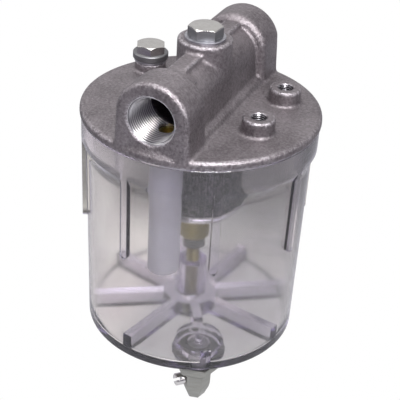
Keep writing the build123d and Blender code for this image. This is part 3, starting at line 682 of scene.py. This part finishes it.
for node, material in (("strainer_mesh", mesh_cloth), ("strainer_core", pressed_steel),
                       ("strainer_gasket", rubber), ("bowl_seal", rubber),
                       ("drain_seal", rubber), ("drain_oring", rubber)):
    nodes[node].data.materials.clear()
    nodes[node].data.materials.append(material)


# Floor, light and camera
def light_source(tree, kind, colour, strength):
    """A link to a background or an emission of this colour and strength."""
    return add(tree, kind, inputs={"Color": colour, "Strength": strength}), 0


def by_ray(tree, others, through, seen):
    """A link that is seen for the camera's own rays, through for those that come through the clear
    bowl or tube, and others for the rest."""
    path = add(tree, "ShaderNodeLightPath")
    mixed = others
    for ray, shader in (("Is Transmission Ray", through), ("Is Camera Ray", seen)):
        mixed = (add(tree, "ShaderNodeMixShader", inputs={0: (path, ray), 1: mixed, 2: shader}), 0)
    return mixed


def build_world():
    """White behind the part. As light and in reflections it is a studio, pale above and behind and
    dim in front and below. Through the bowl it is a grey backdrop, brighter above."""
    world = bpy.data.worlds.new("studio")
    world.use_nodes = True
    tree = world.node_tree
    tree.nodes.clear()
    output = add(tree, "ShaderNodeOutputWorld")
    place = (add(tree, "ShaderNodeTexCoord"), "Generated")
    height = vector_calc(tree, "DOT_PRODUCT", place, (-0.35, 0.6, 0.72))
    colour = ramp(tree, span(tree, height, -0.5, 0.9),
                  [(0.0, "7a7388"), (0.5, "959199"), (1.0, "e6e5e7")])
    above = span(tree, part_of(tree, place, 2), 0.1, 0.6, 1.0, 1.9)
    mixed = by_ray(tree, light_source(tree, "ShaderNodeBackground", colour, 0.85),
                   light_source(tree, "ShaderNodeBackground", linear("b9b7ba"), above),
                   light_source(tree, "ShaderNodeBackground", WHITE, 1.0))
    give(tree, mixed, output)
    bpy.context.scene.world = world


def build_floor():
    """A wide pale floor well below the hanging part. Seen through the bowl it glows with painted
    light
    and shade in place of a room: cream on the left, greyer from the middle on and dim far behind,
    with a painted bright spot in front and a painted shadow behind the dip tube."""
    corners = [(x * GROUND_REACH, y * GROUND_REACH, GROUND_HEIGHT)
               for x, y in ((-1, -1), (1, -1), (1, 1), (-1, 1))]
    ground = mesh_object("floor", corners, [(0, 1, 2, 3)])
    material, tree, output, place = blank("pale_floor")
    matt = add(tree, "ShaderNodeBsdfDiffuse", inputs={"Color": linear("b0b0b5")})
    across = vector_calc(tree, "DOT_PRODUCT", place, (1.0, 0.05, 0.0))
    colour = ramp(tree, span(tree, across, -0.30, 0.0),
                  [(0.0, "fefcea"), (0.38, "fbf7e5"), (0.52, "c0c0b6"), (1.0, "c8c8bc")])
    # Painted light and shade on the floor as seen through the bowl: dim far behind, a painted
    # bright spot, a painted shadow
    gloom = span(tree, part_of(tree, place, 1), 0.30, 0.50, 1.18, 0.18, smooth=True)
    from_bright = vector_calc(tree, "DISTANCE", place, BRIGHT_SPOT)
    bright = span(tree, from_bright, 0.10, 0.26, 3.3, 1.0, smooth=True)
    from_shadow = vector_calc(tree, "DISTANCE", place, TUBE_SHADOW)
    shadow = span(tree, from_shadow, 0.02, 0.10, 0.4, 1.0, smooth=True)
    level = calc(tree, "MULTIPLY", calc(tree, "MULTIPLY", gloom, bright), shadow)
    mixed = by_ray(tree, (matt, 0), light_source(tree, "ShaderNodeEmission", colour, level),
                   light_source(tree, "ShaderNodeEmission", WHITE, 1.0))
    give(tree, mixed, output)
    ground.data.materials.append(material)


def metres(point):
    """A place in mm about the bowl's axis, as a vector in metres in the part's own frame."""
    return Vector((np.array(point) + AXIS) / 1000)


def soft_light(name, position, size, watts):
    """A square area lamp aimed at the bowl's middle."""
    lamp = bpy.data.lights.new(name, "AREA")
    lamp.shape = "SQUARE"
    lamp.size = size
    lamp.energy = watts
    place = metres(position)
    turn = (metres(LAMP_TARGET) - place).to_track_quat("-Z", "Y").to_matrix().to_4x4()
    linked(name, lamp).matrix_world = Matrix.Translation(place) @ turn


def build_camera():
    """The photograph's viewpoint, found from the flange, bowl and port outlines."""
    place = metres(CAMERA_PLACE)
    ahead = (metres(CAMERA_TARGET) - place).normalized()
    level_right = ahead.cross(Vector((0, 0, 1))).normalized()
    level_up = level_right.cross(ahead)
    right = math.cos(CAMERA_ROLL) * level_right + math.sin(CAMERA_ROLL) * level_up
    up = math.cos(CAMERA_ROLL) * level_up - math.sin(CAMERA_ROLL) * level_right
    camera = bpy.data.cameras.new("camera")
    camera.sensor_width = CAMERA_SENSOR
    camera.lens = CAMERA_LENS
    camera.clip_start = 0.01
    camera.clip_end = 20.0
    holder = linked("camera", camera)
    turn = Matrix((right, up, -ahead)).transposed().to_4x4()
    holder.matrix_world = Matrix.Translation(place) @ turn
    bpy.context.scene.camera = holder


build_world()
build_floor()
for name, position, size, watts in LAMPS:
    soft_light(name, position, size, watts)
build_camera()
bpy.context.scene.view_settings.view_transform = "Standard"
